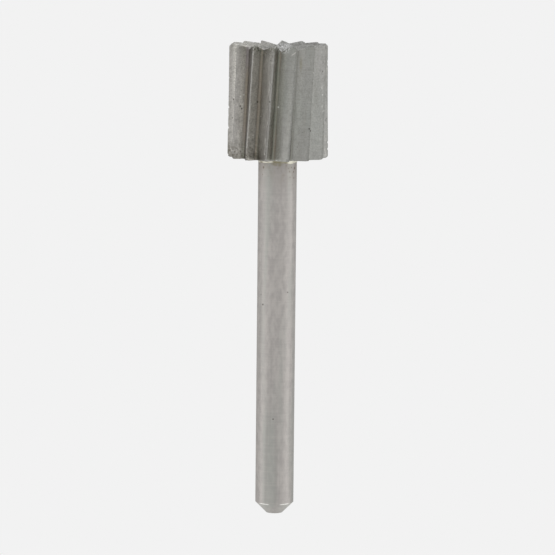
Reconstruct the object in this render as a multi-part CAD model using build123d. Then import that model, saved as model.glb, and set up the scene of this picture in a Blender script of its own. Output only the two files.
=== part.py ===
from build123d import *

import os
from math import asin, atan2, cos, degrees, radians, sin, sqrt, tan

# A cylindrical carbide burr: a fluted, end-cutting head of tungsten carbide, silver-brazed onto
# a plain steel shank.  Sizes are in millimetres and degrees.
# The tool stands on its cutting end.  The plane that its end teeth touch is z = 0, the origin is
# the centre of that end, and +Z runs along the axis to the free end of the shank.

# Whole tool
OVERALL_LENGTH = 36.9

# Shank
SHANK_DIAMETER = 3.0
SHANK_TAIL_CHAMFER = 0.85  # 45 degrees, on the end that goes into the collet
SEAT_TAPER = 2.0  # half angle of the end inside the head, which centres it in its socket
SEAT_CHAMFER = 0.2  # 45 degrees, on that end

# Head
HEAD_DIAMETER = 7.8
HEAD_LENGTH = 8.85
TIP_CHAMFER = 0.2  # corner between the side teeth and the end teeth
BASE_CHAMFER = 0.12
SOCKET_DEPTH = 4.0

# Side teeth
TOOTH_COUNT = 14
FIRST_EDGE_ANGLE = -86.1  # where the first side edge meets the tip plane, from +X
HELIX_ANGLE = 3.8  # right-hand, at the head's full diameter
RAKE_ANGLE = -15.0  # the rake faces lean forwards from the edge to the root
FLUTE_DEPTH = 0.82
GULLET_RADIUS = 0.2
GULLET_CHORDS = 4  # the round gullet is followed by this many flat strips
SIDE_LAND = 0.08  # width of the round margin behind each side edge

# End teeth
END_DISH = 0.17  # how far the end edges rise from the rim to the axis
END_FACE_SLOPE = 38.0  # slope of the wall in front of each end edge
END_RELIEF_SLOPE = 20.0  # slope of the back behind each end edge
END_LAND = 0.06  # width of the flat behind each end edge
CENTRE_RELIEF_DIAMETER = 0.9
CENTRE_RELIEF_DEPTH = 0.12  # below the place where the end edges would meet

# Braze
BRAZE_GAP = 0.05  # all round the shank in its socket, and under it
BRAZE_FILLET_WIDTH = 0.12  # on the head's base, from the shank outwards
BRAZE_FILLET_HEIGHT = 0.3  # along the shank

# Worked out from the sizes above
HEAD_RADIUS = HEAD_DIAMETER / 2
SHANK_RADIUS = SHANK_DIAMETER / 2
SOCKET_FLOOR = HEAD_LENGTH - SOCKET_DEPTH
SHANK_START = SOCKET_FLOOR + BRAZE_GAP
TAPER_START = HEAD_LENGTH + BRAZE_FILLET_HEIGHT  # the braze covers the whole taper
TOOTH_PITCH = 360 / TOOTH_COUNT
TWIST_PER_MM = degrees(tan(radians(HELIX_ANGLE)) / HEAD_RADIUS)
CLEAR = 0.5  # how far a cutting shape runs out of the stock


def polar(radius, angle):
    """A point of the section plane, from its distance to the axis and its angle."""
    return Vector(radius * cos(radians(angle)), radius * sin(radians(angle)), 0)


def turned(*edges):
    """A solid of revolution, from the closed outline of its half section in the XZ plane."""
    return revolve(make_face(Curve() + edges), Axis.Z)


def outline(*points):
    """Straight edges through half-section points (radius, height)."""
    return Polyline([(radius, 0, height) for radius, height in points])


def seat_radius(height):
    """The radius of the shank's tapered end at a height below the top of the braze."""
    return SHANK_RADIUS - (TAPER_START - height) * tan(radians(SEAT_TAPER))


def head_blank():
    """The head before its teeth are ground: dished tip, chamfered corners and blind socket."""
    relief_radius = CENTRE_RELIEF_DIAMETER / 2
    dish_radius = HEAD_RADIUS - TIP_CHAMFER
    relief_rim = END_DISH * (1 - relief_radius / dish_radius)
    return turned(
        outline(
            (0, SOCKET_FLOOR),
            (0, END_DISH + CENTRE_RELIEF_DEPTH),
            (relief_radius, relief_rim),
            (dish_radius, 0),
            (HEAD_RADIUS, TIP_CHAMFER),
            (HEAD_RADIUS, HEAD_LENGTH - BASE_CHAMFER),
            (HEAD_RADIUS - BASE_CHAMFER, HEAD_LENGTH),
            (seat_radius(HEAD_LENGTH) + BRAZE_GAP, HEAD_LENGTH),
            (seat_radius(SOCKET_FLOOR) + BRAZE_GAP, SOCKET_FLOOR),
            (0, SOCKET_FLOOR),
        )
    )


def flute():
    """The helical space in front of the side edge that starts at angle 0.

    Its section has a straight rake face, a round gullet and a straight back that rises to the
    land of the tooth ahead.
    """
    edge = Vector(HEAD_RADIUS, 0, 0)
    inwards = polar(1, 180 - RAKE_ANGLE)
    ahead = polar(1, 270 - RAKE_ANGLE)

    # The gullet's centre is one radius ahead of the rake face, and the gullet reaches the depth.
    start = edge + ahead * GULLET_RADIUS
    centre_distance = HEAD_RADIUS - FLUTE_DEPTH + GULLET_RADIUS
    run = -start.dot(inwards)
    gullet = start + inwards * (run - sqrt(run**2 - start.length**2 + centre_distance**2))

    # The back starts outside the stock, passes the heel and meets the gullet on a tangent.
    heel = polar(HEAD_RADIUS, degrees(SIDE_LAND / HEAD_RADIUS) - TOOTH_PITCH)
    to_gullet = gullet - heel
    back_angle = degrees(atan2(to_gullet.Y, to_gullet.X) + asin(GULLET_RADIUS / to_gullet.length))
    back_start = heel - polar(CLEAR, back_angle)

    # The gullet turns from the back's direction to the rake face's, in short chords.
    turn = (-RAKE_ANGLE - back_angle) / GULLET_CHORDS
    headings = [back_angle + chord * turn for chord in range(GULLET_CHORDS + 1)]
    gullet_points = [gullet + polar(GULLET_RADIUS, 90 + heading) for heading in headings]
    rake_end = edge - inwards * CLEAR
    section = make_face(Polyline([rake_end, back_start] + gullet_points, close=True))

    # The section lies at its own angle in the tip plane, and the sweep starts a little before it.
    section = Pos(0, 0, -CLEAR) * Rot(0, 0, -CLEAR * TWIST_PER_MM) * section
    length = HEAD_LENGTH + 2 * CLEAR
    return Solid.extrude_linear_with_rotation(
        section.face(), (0, 0, -CLEAR), (0, 0, length), length * TWIST_PER_MM
    )


def end_gash():
    """The notch in front of the end edge that lies at angle 0.

    It is the space on the tip side of two planes: the wall in front of this edge, and the relief
    behind the land of the tooth ahead, a pitch away.
    """
    edge = Vector(HEAD_RADIUS - TIP_CHAMFER, 0, -END_DISH)
    down_front = Vector(0, -cos(radians(END_FACE_SLOPE)), sin(radians(END_FACE_SLOPE)))
    down_relief = Vector(0, cos(radians(END_RELIEF_SLOPE)), sin(radians(END_RELIEF_SLOPE)))
    front = Plane((0, 0, END_DISH), z_dir=edge.cross(down_front))
    relief_start = Vector(0, END_LAND, END_DISH).rotate(Axis.Z, -TOOTH_PITCH)
    relief = Plane(relief_start, z_dir=down_relief.cross(edge).rotate(Axis.Z, -TOOTH_PITCH))

    reach = HEAD_RADIUS + CLEAR
    stock = Pos(0, 0, -CLEAR) * Box(reach, 2 * reach, 3 * CLEAR, align=(Align.MIN, Align.CENTER, Align.MIN))
    stock = Rot(0, 0, -TOOTH_PITCH / 2) * stock
    return split(split(stock, front, Keep.TOP), relief, Keep.TOP)


def cutter_head():
    """The carbide head: its blank, cut by one flute and one end gash for each tooth."""
    edge_angles = [FIRST_EDGE_ANGLE + tooth * TOOTH_PITCH for tooth in range(TOOTH_COUNT)]
    head = head_blank()
    one_flute = flute()
    head -= [Rot(0, 0, angle) * one_flute for angle in edge_angles]
    one_gash = end_gash()
    head -= [Rot(0, 0, angle) * one_gash for angle in edge_angles]
    return head


def shank():
    """The steel shank, from the bottom of the socket to the collet end."""
    return turned(
        outline(
            (0, SHANK_START),
            (seat_radius(SHANK_START) - SEAT_CHAMFER, SHANK_START),
            (seat_radius(SHANK_START + SEAT_CHAMFER), SHANK_START + SEAT_CHAMFER),
            (SHANK_RADIUS, TAPER_START),
            (SHANK_RADIUS, OVERALL_LENGTH - SHANK_TAIL_CHAMFER),
            (SHANK_RADIUS - SHANK_TAIL_CHAMFER, OVERALL_LENGTH),
            (0, OVERALL_LENGTH),
            (0, SHANK_START),
        )
    )


def braze_joint():
    """The silver solder that fills the socket round the shank and stands as a fillet at its mouth."""
    fillet_foot = (SHANK_RADIUS + BRAZE_FILLET_WIDTH, HEAD_LENGTH)
    fillet_top = (SHANK_RADIUS, TAPER_START)
    walls = outline(
        fillet_foot,
        (seat_radius(HEAD_LENGTH) + BRAZE_GAP, HEAD_LENGTH),
        (seat_radius(SOCKET_FLOOR) + BRAZE_GAP, SOCKET_FLOOR),
        (0, SOCKET_FLOOR),
        (0, SHANK_START),
        (seat_radius(SHANK_START) - SEAT_CHAMFER, SHANK_START),
        (seat_radius(SHANK_START + SEAT_CHAMFER), SHANK_START + SEAT_CHAMFER),
        fillet_top,
    )
    # The fillet leaves the shank on a tangent and spreads onto the base of the head.
    return turned(walls, TangentArc(walls @ 1, walls @ 0, tangent=(0, 0, -1)))


NODES = {"cutter_head": cutter_head, "braze_joint": braze_joint, "shank": shank}

os.makedirs("parts", exist_ok=True)
for name, build in NODES.items():
    piece = build()
    piece.label = name
    export_step(piece, os.path.join("parts", name + ".step"))
    print(name, "solids", len(piece.solids()), "valid", piece.is_valid, "volume", round(piece.volume, 3))
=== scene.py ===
import math

import bmesh
import bpy
import numpy as np
from mathutils import Matrix, Vector, noise


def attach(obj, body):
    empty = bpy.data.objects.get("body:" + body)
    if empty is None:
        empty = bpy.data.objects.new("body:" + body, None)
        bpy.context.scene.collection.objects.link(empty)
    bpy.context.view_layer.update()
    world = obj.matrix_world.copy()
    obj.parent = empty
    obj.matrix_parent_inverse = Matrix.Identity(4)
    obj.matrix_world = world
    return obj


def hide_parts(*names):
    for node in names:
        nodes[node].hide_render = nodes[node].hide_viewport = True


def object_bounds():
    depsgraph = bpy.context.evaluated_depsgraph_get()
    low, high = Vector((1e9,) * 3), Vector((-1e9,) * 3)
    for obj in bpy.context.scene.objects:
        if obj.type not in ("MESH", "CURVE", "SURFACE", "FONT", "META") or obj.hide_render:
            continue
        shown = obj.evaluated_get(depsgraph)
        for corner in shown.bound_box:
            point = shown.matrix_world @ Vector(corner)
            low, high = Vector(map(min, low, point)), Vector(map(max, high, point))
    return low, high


# A carbide burr that stands on its cutting end: +Z runs from the end teeth to the free end of the
# shank.  Lengths are in metres unless a name says mm, and angles are in degrees.
MM = 0.001
WELD_MM = 0.001  # points nearer to each other than this are one
TINY = 1e-30  # keeps a division by zero away

# The head's teeth, as the CAD model has them
TOOTH_COUNT = 14
FIRST_EDGE_ANGLE = -86.1
HELIX_ANGLE = 3.8
GULLET_FROM = 0.66  # where the gullet starts, as a share of the way from one edge to the next
RAKE_FROM = 0.84  # where the next tooth's rake face starts
WARM_SIDE_ANGLE = -15.0  # the side where the ground carbide has a warmer grey
SOCKET_REACH_MM = 1.7  # nothing nearer to the axis than this is worn

# A spot is whole inside the first share of its half axes and gone outside the second
SPOT_INNER = 0.6
SPOT_OUTER = 1.2

# The end notch that is broken out
NOTCH_CENTRE = (-0.42, -0.9, 0.2)
NOTCH_SIZE = (0.66, 3.4, 0.55)
NOTCH_EDGE_MM = 0.045
CRUMB_MM = 0.1
CRUMB_SIZE_MM = 0.13
CRUMB_FINE_SIZE_MM = 0.052
CRUMB_FINE_SHARE = 0.6

# Single marks on the head: their centres and half axes, in mm
PIT_PLACES = (
    (0.65, -3.8, 4.25), (-2.4, -3.0, 6.35), (-2.52, -2.9, 6.5), (-3.4, -1.6, 2.05), (-3.42, -1.6, 1.3),
    (2.9, -1.85, 4.75), (2.8, -1.82, 4.95), (3.45, -0.42, 4.35),
)
PIT_SIZE = (0.07, 0.3, 0.08)
GRAIN_PLACES = ((2.9, -1.87, 4.0), (-3.4, -1.7, 3.85), (1.9, -2.8, 6.9), (-0.55, -3.66, 1.35))
GRAIN_SIZE = (0.055, 0.3, 0.065)
HEAT_STAIN_CENTRE = (-1.7, -3.3, 1.4)
HEAT_STAIN_SIZE = (0.2, 0.8, 0.8)

# A slanting scratch on a back, near the cutting end
SCRATCH_X_MM = -1.15
SCRATCH_Z_MM = 0.6
SCRATCH_SLOPE = 0.75
SCRATCH_EDGES_MM = (0.06, 0.02)  # where its width fades out and where it is whole, from its middle
SCRATCH_ENDS_MM = (0.2, 0.12)  # the same for its length
SCRATCH_FRONT_MM = (-2.0, -3.0)  # it is on the -Y side only

# The head's fine relief
LONGEST_EDGE_MM = 0.11
HEAD_TRIANGLES = 190000
ROUNDING_PASSES = 2
ROUNDED_REACH = 2  # how many edges away from a sharp edge the rounding reaches
SHARP = 25.0  # the angle between two faces that makes their edge a sharp one
WORN_MM = 0.05  # how much the tip half has lost from its radius
WORN_FROM_MM = 8.2  # heights between which that wear grows
WORN_TO_MM = 4.2
RIM_FROM_MM = 0.35  # how far in from the head's radius its edges are chipped
RIM_TO_MM = 0.05  # and how far in the chips are whole
CHIP_MM = 0.16
CHIP_FROM = 0.3  # the noise above which an edge is chipped
CHIP_SIZE_MM = 0.2
WAVE_MM = 0.008
WAVE_SIZE_MM = 1.3
RAGGED_MM = 0.2  # how far the ends of the head are chipped
RAGGED_FROM = 0.15
RAGGED_SIZE_MM = 0.16
RAGGED_TIP_MM = (0.1, 0.4)  # heights between which that chipping fades out above the tip
RAGGED_BASE_MM = 0.3  # how far below the base it starts

# The solder ring's relief
BRAZE_EDGE_MM = 0.06
BRAZE_LUMP_SIZE_MM = 0.7
BRAZE_FINE_SIZE_MM = 0.21
BRAZE_MARGIN_MM = 0.02  # it is divided finely from this far below the head's base
BRAZE_LUMP_STRETCH = (1, 1, 0.4)  # the lumps are longer along the axis
BRAZE_RISE_MM = 0.08
BRAZE_RISE_LEVEL = 0.5  # of the rise where the noise is 0
BRAZE_RISE_FINE = 0.3  # what the finer noise adds, as a share of the coarse one
BRAZE_RISE_SPAN_MM = (0.02, 0.25)  # heights above the base between which the rise sets in
BRAZE_SWELL_MM = 0.025
BRAZE_SWELL_LEVEL = 0.7
BRAZE_SWELL_FINE = 0.5
BRAZE_SWELL_SPAN_MM = (0.0, 0.1)
FLUX_CENTRE = (0.0, -1.6, 9.0)  # brown flux is left here
FLUX_SIZE = (0.45, 0.5, 0.5)

# The shank's marks
STAIN_CENTRE = (0.0, -1.5, 9.2)  # flux beside the solder
STAIN_SIZE = (0.55, 0.5, 0.22)
DARKER_BY_HEAD_MM = (12.5, 9.8)  # the steel is dulled below the first height, and wholly below the second
TAIL_CHAMFER_MM = 0.85

# Camera.  The picture is taken with the head uppermost, so the camera is turned upside down.
CAMERA_PLACE = (-0.000080, -0.2416, -0.014953)
CAMERA_PITCH = 7.83  # that it looks towards the shank's end, across the end teeth
CAMERA_ROLL = 0.56  # that the head leans to the right in the picture
CAMERA_LENS = 202.7
CAMERA_NEAR = 0.01
CAMERA_FAR = 10.0

# Light
BACKDROP = 0.888
SIDE_BOX_DISTANCE = 0.30
SIDE_BOX_HEIGHT = 0.018
SIDE_BOX_SIZE = (0.20, 0.42)
SIDE_BOX_ANGLE = 80.0  # from the camera's direction, round the axis
LEFT_BOX_POWER = 0.14
RIGHT_BOX_POWER = 0.155
FLOOR_RADIUS = 1.5
FLOOR_SEGMENTS = 64
FLOOR_COLOUR = 0.86


def linear(value):
    """An sRGB value from 0 to 255 as linear light."""
    value /= 255
    return value / 12.92 if value <= 0.04045 else ((value + 0.055) / 1.055) ** 2.4


def colour(red, green, blue):
    return (linear(red), linear(green), linear(blue), 1.0)


# Carbide
BACK_GREY = colour(142, 144, 139)
ROOT_PAINTED_LIGHT = colour(178, 180, 173)
WARM_GREY = colour(176, 172, 168)
COOL_GREY = colour(170, 171, 167)
FAR_SIDE_SHADE = colour(128, 128, 126)
PATCH_GREY = colour(163, 158, 157)
STREAK_GREY = colour(146, 145, 139)
DARK_MOTTLE = colour(116, 113, 107)
PALE_MOTTLE = colour(196, 192, 186)
EDGE_PAINTED_SHADE = colour(126, 126, 122)
RAKE_PAINTED_LIGHT = colour(204, 202, 195)
WARM_RAKE_EDGE_LIT = colour(181, 178, 173)
WARM_RAKE_ROOT_LIT = colour(222, 219, 211)
BROWN_TINT = colour(143, 134, 121)
OLIVE_TINT = colour(136, 138, 126)
VIOLET_TINT = colour(139, 131, 133)
GULLET_SHADE_GREY = colour(134, 134, 128)
GRAIN_GREY = colour(126, 125, 120)
GRINDING_GREY = colour(196, 196, 190)
HEAT_YELLOW = colour(136, 130, 98)
PIT_DARK = colour(74, 72, 68)
SPECK_WHITE = colour(240, 240, 236)
SCRATCH_GREY = colour(216, 212, 208)
TIP_DARK = colour(102, 104, 92)
TIP_PALE = colour(206, 206, 200)
CORNER_DARK = colour(96, 90, 76)
CORNER_PALE = colour(206, 202, 188)
RIM_BROWN = colour(108, 104, 96)
CRUMB_WHITE_AND_HIGHLIGHT = colour(240, 240, 241)
CRUMB_DARK = colour(110, 110, 109)

# Steel
STEEL_DARK = colour(163, 159, 156)
STEEL_PALE = colour(179, 175, 171)
STEEL_GREEN = colour(156, 160, 154)
STEEL_STREAK = colour(152, 149, 146)
STEEL_RING = colour(188, 183, 178)
STEEL_PIT = colour(84, 80, 76)
STEEL_DARKER_BY_HEAD = colour(141, 134, 126)
SCALE_BROWN = colour(104, 92, 82)
FLUX_STAIN = colour(138, 132, 112)
CHAMFER_SHEEN_GREY = colour(204, 204, 198)
CORNER_HIGHLIGHT_WHITE = colour(246, 245, 241)

# Solder
SOLDER_IVORY = colour(214, 211, 197)
FLUX_OLIVE = colour(146, 140, 118)


def from_axis(points):
    return np.hypot(points[:, 0], points[:, 1])


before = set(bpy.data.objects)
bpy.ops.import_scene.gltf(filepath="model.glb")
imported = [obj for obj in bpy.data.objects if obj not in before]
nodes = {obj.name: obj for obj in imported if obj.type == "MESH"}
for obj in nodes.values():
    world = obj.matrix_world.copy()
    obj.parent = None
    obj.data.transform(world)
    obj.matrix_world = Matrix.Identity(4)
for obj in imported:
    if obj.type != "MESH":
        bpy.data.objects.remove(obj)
cad_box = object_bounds()

head_places_mm = np.array([vertex.co for vertex in nodes["cutter_head"].data.vertices]) / MM
head_radius_mm = round(float(from_axis(head_places_mm).max()), 3)
head_length_mm = round(float(head_places_mm[:, 2].max()), 3)
overall_length_mm = round(cad_box[1][2] / MM, 3)
twist_per_mm = math.tan(math.radians(HELIX_ANGLE)) / head_radius_mm  # in radians


# ---------------------------------------------------------------- materials

class Material:
    """A node material under construction.

    A method adds nodes and gives back their output, apart from coat(), which changes self.base.
    """

    def __init__(self, name, base=None):
        self.data = bpy.data.materials.new(name)
        self.data.use_nodes = True
        self.tree = self.data.node_tree
        self.tree.nodes.clear()
        coordinates = self.add("ShaderNodeTexCoord")
        self.place = coordinates.outputs["Object"]
        self.facing = coordinates.outputs["Normal"]
        self.base = base

    def add(self, kind, **settings):
        node = self.tree.nodes.new(kind)
        for setting, value in settings.items():
            setattr(node, setting, value)
        return node

    def put(self, value, socket):
        """Links an output to a socket, or sets the socket to a constant."""
        if isinstance(value, bpy.types.NodeSocket):
            self.tree.links.new(value, socket)
        else:
            socket.default_value = value

    def math(self, operation, *values):
        node = self.add("ShaderNodeMath", operation=operation)
        for value, socket in zip(values, node.inputs):
            self.put(value, socket)
        return node.outputs[0]

    def plus(self, first, second):
        return self.math("ADD", first, second)

    def minus(self, first, second):
        return self.math("SUBTRACT", first, second)

    def times(self, first, *others):
        for other in others:
            first = self.math("MULTIPLY", first, other)
        return first

    def larger(self, first, second):
        return self.math("MAXIMUM", first, second)

    def absolute(self, value):
        return self.math("ABSOLUTE", value)

    def band(self, value, start, end, low=0.0, high=1.0):
        """Goes smoothly from low to high as value goes from start to end."""
        node = self.add("ShaderNodeMapRange", interpolation_type="SMOOTHSTEP")
        for given, socket in zip((value, start, end, low, high), node.inputs):
            self.put(given, socket)
        return node.outputs[0]

    def split(self, vector):
        node = self.add("ShaderNodeSeparateXYZ")
        self.put(vector, node.inputs[0])
        return node.outputs

    def vector(self, x, y, z):
        node = self.add("ShaderNodeCombineXYZ")
        for value, socket in zip((x, y, z), node.inputs):
            self.put(value, socket)
        return node.outputs[0]

    def stretched(self, x, y, z):
        """The object's coordinates, counted in lumps of noise: how many a metre holds each way."""
        node = self.add("ShaderNodeVectorMath", operation="MULTIPLY")
        self.put(self.place, node.inputs[0])
        node.inputs[1].default_value = (x, y, z)
        return node.outputs[0]

    def noise(self, vector, detail=2.0, roughness=0.5, seed=0.0):
        """Smooth noise from 0 to 1, one lump to each unit of the vector."""
        node = self.add("ShaderNodeTexNoise", noise_dimensions="4D")
        self.put(vector, node.inputs["Vector"])
        node.inputs["W"].default_value = seed
        node.inputs["Scale"].default_value = 1.0
        node.inputs["Detail"].default_value = detail
        node.inputs["Roughness"].default_value = roughness
        return node.outputs["Fac"]

    def pits(self, per_metre, share, radius, seed):
        """1 in small round spots: of the cells of a lattice, a share hold one each.

        The largest has the given radius, as a share of a cell, and the smallest has half of it.
        """
        shifted = self.add("ShaderNodeVectorMath", operation="ADD")
        self.put(self.stretched(per_metre, per_metre, per_metre), shifted.inputs[0])
        shifted.inputs[1].default_value = (seed, seed, seed)
        cells = self.add("ShaderNodeTexVoronoi")
        self.put(shifted.outputs[0], cells.inputs["Vector"])
        cells.inputs["Scale"].default_value = 1.0
        pick = self.add("ShaderNodeSeparateColor")
        self.put(cells.outputs["Color"], pick.inputs[0])
        chosen = self.math("LESS_THAN", pick.outputs[0], share)
        size = self.band(pick.outputs[1], 0.0, 1.0, radius / 2, radius)
        spot = self.band(self.math("DIVIDE", cells.outputs["Distance"], size), 1.0, 0.6)
        return self.times(spot, chosen)

    def spot(self, centre_mm, size_mm):
        """1 in the middle of an ellipsoid with the given centre and half axes, 0 outside it."""
        node = self.add("ShaderNodeVectorMath", operation="DISTANCE")
        self.put(self.stretched(*[1 / (size * MM) for size in size_mm]), node.inputs[0])
        node.inputs[1].default_value = [place / size for place, size in zip(centre_mm, size_mm)]
        return self.band(node.outputs["Value"], SPOT_OUTER, SPOT_INNER)

    def spots(self, centres_mm, size_mm):
        """1 in several spots of one size."""
        total = 0.0
        for centre in centres_mm:
            total = self.larger(total, self.spot(centre, size_mm))
        return total

    def mix(self, share, first, second):
        node = self.add("ShaderNodeMix", data_type="RGBA")
        self.put(share, node.inputs["Factor"])
        self.put(first, node.inputs["A"])
        self.put(second, node.inputs["B"])
        return node.outputs["Result"]

    def coat(self, share, paint):
        """Lays a colour over what is there, as densely as share says."""
        self.base = self.mix(share, self.base, paint)

    def bump(self, height, distance_mm):
        node = self.add("ShaderNodeBump")
        node.inputs["Distance"].default_value = distance_mm * MM
        self.put(height, node.inputs["Height"])
        return node.outputs["Normal"]

    def finish(self, metallic, roughness, tint, normal):
        shader = self.add("ShaderNodeBsdfPrincipled")
        self.put(self.base, shader.inputs["Base Color"])
        self.put(metallic, shader.inputs["Metallic"])
        self.put(roughness, shader.inputs["Roughness"])
        shader.inputs["Specular Tint"].default_value = (tint, tint, tint, 1.0)
        self.put(normal, shader.inputs["Normal"])
        out = self.add("ShaderNodeOutputMaterial")
        self.put(shader.outputs["BSDF"], out.inputs["Surface"])
        return self.data


class GroundCarbide(Material):
    """The head's material, painted in layers from the ground faces to the damage."""

    def __init__(self):
        super().__init__("ground_carbide", BACK_GREY)
        self.x, self.y, z = self.split(self.place)
        radius = self.math("SQRT", self.plus(self.times(self.x, self.x), self.times(self.y, self.y)))
        self.depth_mm = self.times(self.minus(head_radius_mm * MM, radius), 1 / MM)
        self.height_mm = self.times(z, 1 / MM)

        # Where a point lies across its tooth: 0 at the cutting edge, 1 at the next one.
        angle = self.math("ARCTAN2", self.y, self.x)
        untwisted = self.minus(angle, self.times(self.height_mm, twist_per_mm))
        start = self.minus(untwisted, math.radians(FIRST_EDGE_ANGLE - 360))
        self.across = self.math("FRACT", self.times(start, TOOTH_COUNT / (2 * math.pi)))

        # 1 in the middle of the warm side, -1 opposite to it.
        self.side = self.math("COSINE", self.minus(angle, math.radians(WARM_SIDE_ANGLE)))

        # 1 on the cutting end and on the base, 0 on the flutes' walls.
        self.end = self.band(self.absolute(self.split(self.facing)[2]), 0.35, 0.65)

        # Streaks run along the flutes, and grinding marks across them.
        self.along = self.vector(self.times(untwisted, 9.0), self.times(radius, 1500.0), self.times(z, 160.0))
        self.streaks = self.noise(self.along, detail=3.0, seed=1.0)
        self.mottle = self.noise(self.stretched(3600, 3600, 2400), detail=3.0, roughness=0.7, seed=10.0)
        self.grain = self.noise(self.stretched(9000, 9000, 9000), detail=2.0, seed=3.0)
        crosswise = self.vector(self.times(untwisted, 2.5), self.times(radius, 400.0), self.times(z, 9000.0))
        self.grinding = self.noise(crosswise, detail=2.0, seed=6.0)

        # The backs of the teeth come first: rakes, gullets, marks and damage lie over them.
        self.paint_backs()
        self.paint_rakes_and_gullets()
        self.paint_marks()
        self.paint_scratch()
        self.paint_ends()
        self.paint_notch()

    def paint_backs(self):
        """A warm grey round one side and a greener one round the other, with patches and mottle, and painted
        light and shade: lighter far down the flutes, darker near the rims and on the far side.
        """
        # Painted light: the grey is lighter far down in the flutes, lifting their shade.
        painted_light_deep = self.times(self.band(self.depth_mm, 0.45, 0.72), self.band(self.side, -0.2, 0.2, 0.5, 1.0))
        self.coat(painted_light_deep, ROOT_PAINTED_LIGHT)
        self.coat(self.band(self.side, 0.2, 0.5, 0.0, 0.8), WARM_GREY)
        self.coat(self.band(self.side, -0.1, -0.9, 0.0, 0.85), COOL_GREY)
        # Painted shade over the side that faces the right-hand side box.
        self.coat(self.band(self.side, -0.8, -0.87, 0.0, 0.7), FAR_SIDE_SHADE)
        patches = self.noise(self.stretched(330, 330, 130), detail=2.0, seed=2.0)
        self.coat(self.band(patches, 0.35, 0.65, 0.0, 0.35), PATCH_GREY)
        self.coat(self.band(self.streaks, 0.5, 0.75, 0.0, 0.55), STREAK_GREY)
        rough = self.larger(self.band(self.side, 0.3, 0.85, 0.5, 1.0), self.band(self.side, -0.75, -0.85))
        self.coat(self.times(self.band(self.mottle, 0.52, 0.66), rough, 0.5), DARK_MOTTLE)
        self.coat(self.times(self.band(self.mottle, 0.48, 0.34), rough, 0.3), PALE_MOTTLE)
        # Painted shade: the grey is darker near the rims of the teeth.
        self.coat(self.band(self.depth_mm, 0.15, 0.05, 0.0, 0.5), EDGE_PAINTED_SHADE)

    def paint_rakes_and_gullets(self):
        """The rake faces are painted brightest, as painted light that grows towards their roots, and the
        gullets keep heat tints, darkened as painted shade.
        """
        # Painted light: the rake faces are lighter than the backs, more so towards their roots.
        warm_rake_lit = self.mix(self.band(self.depth_mm, 0.2, 0.6), WARM_RAKE_EDGE_LIT, WARM_RAKE_ROOT_LIT)
        rake_painted_light = self.mix(self.band(self.side, 0.8, 0.9), RAKE_PAINTED_LIGHT, warm_rake_lit)
        rake_painted_light = self.mix(self.band(self.mottle, 0.5, 0.66, 0.0, 0.4), rake_painted_light, DARK_MOTTLE)
        rake = self.band(self.across, RAKE_FROM, RAKE_FROM + 0.06)
        self.coat(self.times(rake, 0.9), rake_painted_light)

        # Heat tints in the gullets, held darker than the backs as painted shade; on the cool side the gullets
        # get a plain painted shade grey.
        olive = self.band(self.noise(self.along, detail=1.0, seed=4.0), 0.4, 0.6)
        violet = self.band(self.noise(self.along, detail=1.0, seed=5.0), 0.52, 0.68)
        tint = self.mix(olive, BROWN_TINT, OLIVE_TINT)
        tint = self.mix(violet, tint, VIOLET_TINT)
        tint = self.mix(self.band(self.side, 0.2, -0.2), tint, GULLET_SHADE_GREY)
        wavering = self.plus(self.across, self.times(self.streaks, 0.1))
        self.gullet_tint_and_shade = self.times(
            self.band(wavering, GULLET_FROM, GULLET_FROM + 0.1),
            self.minus(1.0, rake),
            self.minus(1.0, self.end),
            self.band(self.side, -0.3, 0.3, 0.65, 1.0),
        )
        self.coat(self.gullet_tint_and_shade, tint)

    def paint_marks(self):
        """Grain, grinding marks, pits, dark dots and bright grains, and one stain of heat."""
        self.coat(self.band(self.grain, 0.35, 0.7, 0.0, 0.45), GRAIN_GREY)
        self.coat(self.band(self.grinding, 0.35, 0.65, 0.0, 0.08), GRINDING_GREY)
        self.coat(self.times(self.spot(HEAT_STAIN_CENTRE, HEAT_STAIN_SIZE), 0.35), HEAT_YELLOW)
        holes = self.pits(per_metre=900, share=0.7, radius=0.11, seed=7.0)
        dots = self.pits(per_metre=2600, share=0.15, radius=0.2, seed=8.0)
        placed = self.spots(PIT_PLACES, PIT_SIZE)
        self.pitted = self.larger(self.larger(holes, self.times(dots, 0.6)), placed)
        self.coat(self.times(self.pitted, 0.75), PIT_DARK)
        specks = self.pits(per_metre=2300, share=0.1, radius=0.2, seed=15.0)
        specks = self.larger(specks, self.spots(GRAIN_PLACES, GRAIN_SIZE))
        self.coat(self.times(specks, 0.8), SPECK_WHITE)

    def paint_scratch(self):
        aside_mm = self.minus(self.times(self.x, 1 / MM), SCRATCH_X_MM)
        above_mm = self.minus(self.height_mm, SCRATCH_Z_MM)
        from_line_mm = self.minus(above_mm, self.times(aside_mm, SCRATCH_SLOPE))
        scratch = self.times(
            self.band(self.absolute(from_line_mm), *SCRATCH_EDGES_MM),
            self.band(self.absolute(aside_mm), *SCRATCH_ENDS_MM),
            self.band(self.times(self.y, 1 / MM), *SCRATCH_FRONT_MM),
        )
        self.coat(self.times(scratch, 0.5), SCRATCH_GREY)

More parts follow.
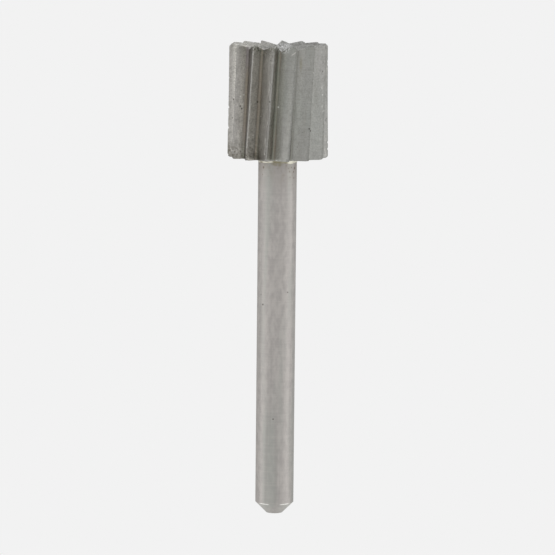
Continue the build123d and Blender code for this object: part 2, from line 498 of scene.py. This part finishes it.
    def paint_ends(self):
        """Blots near the cutting end and near the base's warm corner, and a brown rim there."""
        blots = self.noise(self.stretched(5500, 5500, 5500), detail=3.0, roughness=0.7, seed=16.0)
        tip = self.times(
            self.band(self.height_mm, 1.2, 0.2),
            self.band(self.side, 0.0, 0.35),
            self.band(self.side, 0.8, 0.95, 1.0, 0.4),
        )
        self.coat(self.times(self.band(blots, 0.45, 0.58, 0.0, 0.8), tip), TIP_DARK)
        self.coat(self.times(self.band(blots, 0.44, 0.34, 0.0, 0.6), tip), TIP_PALE)
        corner = self.times(self.band(self.height_mm, 7.0, 8.6), self.band(self.side, 0.5, 0.8))
        self.coat(self.times(self.band(blots, 0.48, 0.58, 0.0, 0.7), corner), CORNER_DARK)
        self.coat(self.times(self.band(blots, 0.44, 0.34, 0.0, 0.5), corner), CORNER_PALE)
        rim = self.times(self.band(self.height_mm, 8.2, 8.75), self.band(self.side, 0.4, 0.7))
        self.coat(self.times(rim, 0.55), RIM_BROWN)

    def paint_notch(self):
        """White and dark crumbs in the broken notch, and a faint frost of them on both ends; the white is
        partly a painted highlight of light from above.
        """
        self.crumbs = self.noise(self.stretched(8000, 8000, 8000), detail=2.0, roughness=0.6, seed=9.0)
        self.broken = self.spot(NOTCH_CENTRE, NOTCH_SIZE)
        on_ends = self.times(self.end, self.band(self.height_mm, 0.5, 1.5, 0.3, 0.12))
        self.frost_and_highlight = self.larger(self.broken, on_ends)
        # Partly painted highlight: the white crumbs brighten the notch and the ends as light from above
        # would.
        self.coat(self.times(self.band(self.crumbs, 0.46, 0.54), self.frost_and_highlight, 0.85), CRUMB_WHITE_AND_HIGHLIGHT)
        self.coat(self.times(self.band(self.crumbs, 0.47, 0.4), self.frost_and_highlight, 0.7), CRUMB_DARK)

    def relief(self):
        fine = self.plus(self.times(self.grinding, 0.35), self.grain)
        fine = self.plus(self.minus(fine, self.times(self.pitted, 4.0)), self.mottle)
        return self.plus(fine, self.times(self.crumbs, self.frost_and_highlight, 5.0))


def carbide():
    m = GroundCarbide()
    normal = m.bump(m.relief(), distance_mm=0.0022)
    duller = m.plus(m.gullet_tint_and_shade, m.times(m.streaks, 0.2))
    roughness = m.larger(m.band(duller, 0.1, 1.0, 0.34, 0.6), m.times(m.broken, 0.6))
    return m.finish(metallic=1.0, roughness=roughness, tint=0.55, normal=normal)


def ground_steel():
    m = Material("ground_steel", STEEL_DARK)
    x, _, z = m.split(m.place)
    aside_mm = m.times(m.absolute(x), 1 / MM)
    height_mm = m.times(z, 1 / MM)
    rings = m.noise(m.stretched(350, 350, 14000), detail=2.0, seed=11.0)
    mottle = m.noise(m.stretched(3000, 3000, 1300), detail=3.0, roughness=0.6, seed=12.0)
    broad = m.noise(m.stretched(900, 900, 90), detail=2.0, seed=13.0)
    streaks = m.noise(m.stretched(2400, 2400, 60), detail=2.0, seed=18.0)
    m.coat(m.band(mottle, 0.35, 0.65), STEEL_PALE)
    m.coat(m.band(broad, 0.45, 0.65, 0.0, 0.5), STEEL_GREEN)
    m.coat(m.band(streaks, 0.5, 0.62, 0.0, 0.4), STEEL_STREAK)
    m.coat(m.band(rings, 0.45, 0.65, 0.0, 0.18), STEEL_RING)
    holes = m.pits(per_metre=1000, share=0.35, radius=0.1, seed=14.0)
    m.coat(m.times(holes, 0.7), STEEL_PIT)

    # Beside the braze the steel is darker and spotted brown, and flux has stained it.
    by_head = m.band(m.plus(height_mm, m.times(broad, 1.6)), *DARKER_BY_HEAD_MM)
    m.coat(m.times(by_head, m.band(mottle, 0.4, 0.6, 0.1, 0.6)), STEEL_DARKER_BY_HEAD)
    scale = m.pits(per_metre=3000, share=0.6, radius=0.38, seed=17.0)
    m.coat(m.times(by_head, scale, m.band(aside_mm, 0.6, 1.2, 0.2, 0.85)), SCALE_BROWN)
    stain = m.spot(STAIN_CENTRE, STAIN_SIZE)
    m.coat(m.times(stain, m.band(mottle, 0.35, 0.6, 0.4, 0.8)), FLUX_STAIN)

    # The chamfer is painted lighter towards its sides as a painted sheen, and its corner carries a painted
    # highlight.
    from_corner_mm = m.minus(height_mm, overall_length_mm - TAIL_CHAMFER_MM)
    chamfer_sheen = m.band(from_corner_mm, -0.02, 0.02)
    m.coat(m.times(chamfer_sheen, m.band(aside_mm, 0.1, 1.2, 0.15, 0.7)), CHAMFER_SHEEN_GREY)
    corner_highlight = m.times(
        m.band(m.absolute(from_corner_mm), 0.05, 0.02),
        m.band(aside_mm, 0.35, 0.55),
        m.band(aside_mm, 1.25, 1.0),
    )
    m.coat(m.times(corner_highlight, 0.8), CORNER_HIGHLIGHT_WHITE)

    relief = m.minus(m.plus(m.times(rings, 0.6), mottle), m.times(holes, 3.0))
    normal = m.bump(relief, distance_mm=0.0025)
    return m.finish(metallic=1.0, roughness=m.band(mottle, 0.3, 0.7, 0.42, 0.52), tint=0.75, normal=normal)


def silver_solder():
    m = Material("silver_solder", SOLDER_IVORY)
    lumps = m.noise(m.stretched(1500, 1500, 1500), detail=2.0, seed=21.0)
    patches = m.noise(m.stretched(700, 700, 700), detail=2.0, seed=22.0)
    flux = m.larger(m.band(patches, 0.56, 0.66), m.spot(FLUX_CENTRE, FLUX_SIZE))
    m.coat(m.times(flux, m.band(lumps, 0.3, 0.6, 0.6, 1.0)), FLUX_OLIVE)
    metallic = m.band(flux, 0.0, 1.0, 1.0, 0.7)
    roughness = m.band(lumps, 0.3, 0.7, 0.4, 0.6)
    return m.finish(metallic, roughness, tint=0.9, normal=m.bump(lumps, distance_mm=0.02))


# ---------------------------------------------------------------- pieces

def welded(node):
    """The points and triangles of a CAD node, with points that coincide made one."""
    work = bmesh.new()
    work.from_mesh(nodes[node].data)
    bmesh.ops.remove_doubles(work, verts=work.verts, dist=WELD_MM * MM)
    bmesh.ops.triangulate(work, faces=work.faces)
    work.verts.index_update()
    points = np.array([vertex.co for vertex in work.verts])
    triangles = np.array([[vertex.index for vertex in face.verts] for face in work.faces])
    work.free()
    return points, triangles


def edges_of(triangles):
    """The edges as pairs of points, and for each triangle the numbers of its three edges."""
    pairs = np.sort(triangles[:, [0, 1, 1, 2, 2, 0]].reshape(-1, 2), axis=1)
    size = int(triangles.max()) + 1
    keys, numbers = np.unique(pairs[:, 0] * size + pairs[:, 1], return_inverse=True)
    return np.column_stack([keys // size, keys % size]), numbers.reshape(-1, 3)


def outside_socket(points):
    return from_axis(points) > SOCKET_REACH_MM * MM


def from_notch(points):
    """The distance to the broken notch's middle, as a share of the notch's half axes."""
    return np.linalg.norm((points / MM - NOTCH_CENTRE) / NOTCH_SIZE, axis=1)


def in_notch(points):
    return from_notch(points) < SPOT_OUTER


def above_head(points):
    return points[:, 2] > (head_length_mm - BRAZE_MARGIN_MM) * MM


def turned(triangles, marks, turn):
    """The corners and halved edges of each triangle, starting from corner number turn."""
    rows = np.arange(len(triangles))
    columns = [(turn + step) % 3 for step in range(3)]
    return [triangles[rows, column] for column in columns] + [marks[rows, column] for column in columns]


def divided(points, triangles, longest, chosen):
    """Halves the edges longer than longest that touch a chosen point, until none is left.

    Only an edge that is the longest of a triangle is halved, so that slivers grow no thinner.
    """
    while True:
        edges, numbers = edges_of(triangles)
        ends = points[edges]
        length = np.linalg.norm(ends[:, 0] - ends[:, 1], axis=1)
        leading = np.zeros(len(edges), bool)
        leading[np.take_along_axis(numbers, length[numbers].argmax(axis=1)[:, None], axis=1)] = True
        split = leading & (length > longest) & chosen(points)[edges].any(axis=1)
        if not split.any():
            return points, triangles
        middle = np.full(len(edges), -1)
        middle[split] = len(points) + np.arange(split.sum())
        points = np.vstack([points, ends[split].mean(axis=1)])
        marks = middle[numbers]
        count = (marks >= 0).sum(axis=1)
        pieces = [triangles[count == 0]]

        # One edge is halved: it is turned to the front.
        rows = count == 1
        turn = marks[rows].argmax(axis=1)
        a, b, c, m, _, _ = turned(triangles[rows], marks[rows], turn)
        pieces += [np.column_stack([a, m, c]), np.column_stack([m, b, c])]

        # Two are halved: the whole one is turned to the back, and the shorter diagonal is kept.
        rows = count == 2
        turn = (marks[rows].argmin(axis=1) + 1) % 3
        a, b, c, m, n, _ = turned(triangles[rows], marks[rows], turn)
        pieces.append(np.column_stack([m, b, n]))
        first = np.linalg.norm(points[a] - points[n], axis=1) < np.linalg.norm(points[m] - points[c], axis=1)
        pieces.append(np.column_stack([a, m, np.where(first, n, c)]))
        pieces.append(np.column_stack([np.where(first, a, m), n, c]))

        # Three are halved.
        rows = count == 3
        a, b, c = triangles[rows].T
        m, n, k = marks[rows].T
        pieces += [np.column_stack(corner) for corner in ((a, m, k), (m, b, n), (k, n, c), (m, n, k))]
        triangles = np.vstack(pieces)


def near_sharp_edges(points, triangles):
    """Which points lie on a sharp edge or a few edges away from one."""
    edges, numbers = edges_of(triangles)
    corners = points[triangles]
    normals = np.cross(corners[:, 1] - corners[:, 0], corners[:, 2] - corners[:, 0])
    normals /= np.maximum(np.linalg.norm(normals, axis=1, keepdims=True), TINY)
    total = np.zeros((len(edges), 3))
    for side in range(3):
        np.add.at(total, numbers[:, side], normals)
    # Two unit normals that part by an angle add up to twice the cosine of half of it.
    sharp = np.linalg.norm(total, axis=1) < 2 * math.cos(math.radians(SHARP / 2))
    near = np.zeros(len(points), bool)
    near[edges[sharp]] = True
    for _ in range(ROUNDED_REACH):
        reached = near[edges].any(axis=1)
        near[edges[reached]] = True
    return near


def rounded(points, triangles):
    """Smooths the points on and near sharp edges, apart from those in the socket."""
    near = near_sharp_edges(points, triangles) & outside_socket(points)
    edges, _ = edges_of(triangles)
    degree = np.bincount(edges.ravel(), minlength=len(points))[:, None]
    for _ in range(ROUNDING_PASSES):
        around = np.zeros_like(points)
        np.add.at(around, edges[:, 0], points[edges[:, 1]])
        np.add.at(around, edges[:, 1], points[edges[:, 0]])
        points = np.where(near[:, None], (points + around / degree) / 2, points)
    return points


def smoothstep(value, start, end):
    share = np.clip((value - start) / (end - start), 0.0, 1.0)
    return share * share * (3 - 2 * share)


def noise_at(points, size_mm):
    """Noise from -1 to 1 with lumps of the given size."""
    return np.array([noise.noise(place) for place in points / (size_mm * MM)])


def lifted(points, rise_mm):
    """The points moved along the axis."""
    return points + np.outer(rise_mm * MM, (0, 0, 1))


def scaled_across(points, share):
    """The points with their distances to the axis times share."""
    return points * np.column_stack([share, share, np.ones(len(points))])


def broken_out(points):
    """Raises crumbs in the broken notch."""
    crumb = noise_at(points, CRUMB_SIZE_MM) + CRUMB_FINE_SHARE * noise_at(points, CRUMB_FINE_SIZE_MM)
    broken = 1 - smoothstep(from_notch(points), SPOT_INNER, SPOT_OUTER)
    return lifted(points, np.maximum(0, crumb) * CRUMB_MM * broken)


def worn(points):
    """Chips the edges and both ends, and takes the wear off the tip half."""
    radius_mm = from_axis(points) / MM
    height_mm = points[:, 2] / MM
    rim = smoothstep(radius_mm, head_radius_mm - RIM_FROM_MM, head_radius_mm - RIM_TO_MM)
    chip_mm = np.maximum(0, noise_at(points, CHIP_SIZE_MM) - CHIP_FROM) * CHIP_MM * rim
    wave_mm = (1 + noise_at(points, WAVE_SIZE_MM)) * WAVE_MM
    wear_mm = WORN_MM * smoothstep(height_mm, WORN_FROM_MM, WORN_TO_MM)
    ragged_mm = np.maximum(0, noise_at(points, RAGGED_SIZE_MM) - RAGGED_FROM) * RAGGED_MM
    at_tip = 1 - smoothstep(height_mm, *RAGGED_TIP_MM)
    at_base = smoothstep(height_mm, head_length_mm - RAGGED_BASE_MM, head_length_mm) * rim
    points = lifted(points, ragged_mm * (at_tip - at_base))
    lost = (chip_mm + wave_mm + wear_mm) / np.maximum(radius_mm, TINY)
    return scaled_across(points, np.where(outside_socket(points), 1 - lost, 1.0))


def new_piece(name, points, triangles, material):
    mesh = bpy.data.meshes.new(name)
    mesh.from_pydata(points.tolist(), [], triangles.tolist())
    mesh.polygons.foreach_set("use_smooth", [True] * len(triangles))
    mesh.materials.append(material)
    piece = bpy.data.objects.new(name, mesh)
    bpy.context.scene.collection.objects.link(piece)
    return piece


def thinned(piece, count):
    """Merges the triangles that matter least to the shape, until the count of them is left."""
    modifier = piece.modifiers.new("thinned", "DECIMATE")
    modifier.ratio = count / len(piece.data.polygons)
    evaluated = piece.evaluated_get(bpy.context.evaluated_depsgraph_get())
    piece.data = bpy.data.meshes.new_from_object(evaluated)
    piece.modifiers.clear()


def worn_head():
    points, triangles = welded("cutter_head")
    points, triangles = divided(points, triangles, LONGEST_EDGE_MM * MM, outside_socket)
    points = rounded(points, triangles)
    points, triangles = divided(points, triangles, NOTCH_EDGE_MM * MM, in_notch)
    points = worn(broken_out(points))
    piece = new_piece("ground_head", points, triangles, carbide())
    thinned(piece, HEAD_TRIANGLES)
    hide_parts("cutter_head")
    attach(piece, "root")


def lumpy_braze():
    points, triangles = welded("braze_joint")
    points, triangles = divided(points, triangles, BRAZE_EDGE_MM * MM, above_head)
    height_mm = np.maximum(0, points[:, 2] / MM - head_length_mm)
    lump = noise_at(points * BRAZE_LUMP_STRETCH, BRAZE_LUMP_SIZE_MM)
    fine = noise_at(points, BRAZE_FINE_SIZE_MM)
    rise = (BRAZE_RISE_LEVEL + lump + BRAZE_RISE_FINE * fine) * smoothstep(height_mm, *BRAZE_RISE_SPAN_MM)
    swell = (BRAZE_SWELL_LEVEL + lump + BRAZE_SWELL_FINE * fine) * smoothstep(height_mm, *BRAZE_SWELL_SPAN_MM)
    points = lifted(points, rise * BRAZE_RISE_MM)
    points = scaled_across(points, 1 + swell * BRAZE_SWELL_MM / np.maximum(from_axis(points) / MM, TINY))
    piece = new_piece("solder_ring", points, triangles, silver_solder())
    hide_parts("braze_joint")
    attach(piece, "root")


# ---------------------------------------------------------------- camera, light and floor

def make_camera():
    camera = bpy.data.objects.new("camera", bpy.data.cameras.new("camera"))
    bpy.context.scene.collection.objects.link(camera)
    pitch = math.radians(CAMERA_PITCH)
    roll = math.radians(CAMERA_ROLL)
    forward = Vector((0, math.cos(pitch), math.sin(pitch)))
    level_right = Vector((-1, 0, 0))
    level_up = level_right.cross(forward)
    right = level_right * math.cos(roll) + level_up * math.sin(roll)
    up = right.cross(forward)
    camera.matrix_world = Matrix((right, up, -forward)).transposed().to_4x4()
    camera.location = CAMERA_PLACE
    camera.data.lens = CAMERA_LENS
    camera.data.clip_start = CAMERA_NEAR
    camera.data.clip_end = CAMERA_FAR
    bpy.context.scene.camera = camera


def make_world():
    world = bpy.data.worlds.new("studio")
    world.use_nodes = True
    bpy.context.scene.world = world
    background = world.node_tree.nodes["Background"]
    background.inputs["Color"].default_value = (BACKDROP, BACKDROP, BACKDROP, 1)


def side_box(name, side, power):
    """A tall soft box beside the object; side is +1 for the picture's right, -1 for its left."""
    light = bpy.data.lights.new(name, "AREA")
    light.shape = "RECTANGLE"
    light.size, light.size_y = SIDE_BOX_SIZE
    light.energy = power
    lamp = bpy.data.objects.new(name, light)
    bpy.context.scene.collection.objects.link(lamp)
    angle = math.radians(SIDE_BOX_ANGLE) * side
    direction = Vector((-math.sin(angle), -math.cos(angle), 0))
    place = direction * SIDE_BOX_DISTANCE + Vector((0, 0, SIDE_BOX_HEIGHT))
    lamp.matrix_world = Matrix.Translation(place) @ direction.to_track_quat("Z", "Y").to_matrix().to_4x4()
    return lamp


def pale_floor():
    """A plain pale surface that only the camera sees, and only from above."""
    m = Material("pale_floor")
    pale = m.add("ShaderNodeBsdfDiffuse")
    pale.inputs["Color"].default_value = (FLOOR_COLOUR, FLOOR_COLOUR, FLOOR_COLOUR, 1)
    clear = m.add("ShaderNodeBsdfTransparent")
    ray = m.add("ShaderNodeLightPath")
    seen = m.add("ShaderNodeNewGeometry")
    shown = m.times(ray.outputs["Is Camera Ray"], m.minus(1.0, seen.outputs["Backfacing"]))
    both = m.add("ShaderNodeMixShader")
    m.put(shown, both.inputs[0])
    m.put(clear.outputs[0], both.inputs[1])
    m.put(pale.outputs[0], both.inputs[2])
    out = m.add("ShaderNodeOutputMaterial")
    m.put(both.outputs[0], out.inputs["Surface"])
    return m.data


def make_floor():
    """The floor, which catches the burr's shadow."""
    mesh = bpy.data.meshes.new("floor")
    work = bmesh.new()
    bmesh.ops.create_circle(work, cap_ends=True, segments=FLOOR_SEGMENTS, radius=FLOOR_RADIUS)
    work.to_mesh(mesh)
    work.free()
    mesh.materials.append(pale_floor())
    floor = bpy.data.objects.new("floor", mesh)
    bpy.context.scene.collection.objects.link(floor)
    return floor


def keep_off(lamps, floor):
    """Takes the lamps' light off the floor, which would show a bright patch below each of them."""
    unlit = bpy.data.collections.new("unlit")
    unlit.objects.link(floor)
    unlit.collection_objects[0].light_linking.link_state = "EXCLUDE"
    for lamp in lamps:
        lamp.light_linking.receiver_collection = unlit


worn_head()
lumpy_braze()
nodes["shank"].data.materials[0] = ground_steel()
make_camera()
make_world()
side_boxes = [side_box("left_box", -1, LEFT_BOX_POWER), side_box("right_box", 1, RIGHT_BOX_POWER)]
keep_off(side_boxes, make_floor())

bpy.context.scene.view_settings.view_transform = "Standard"
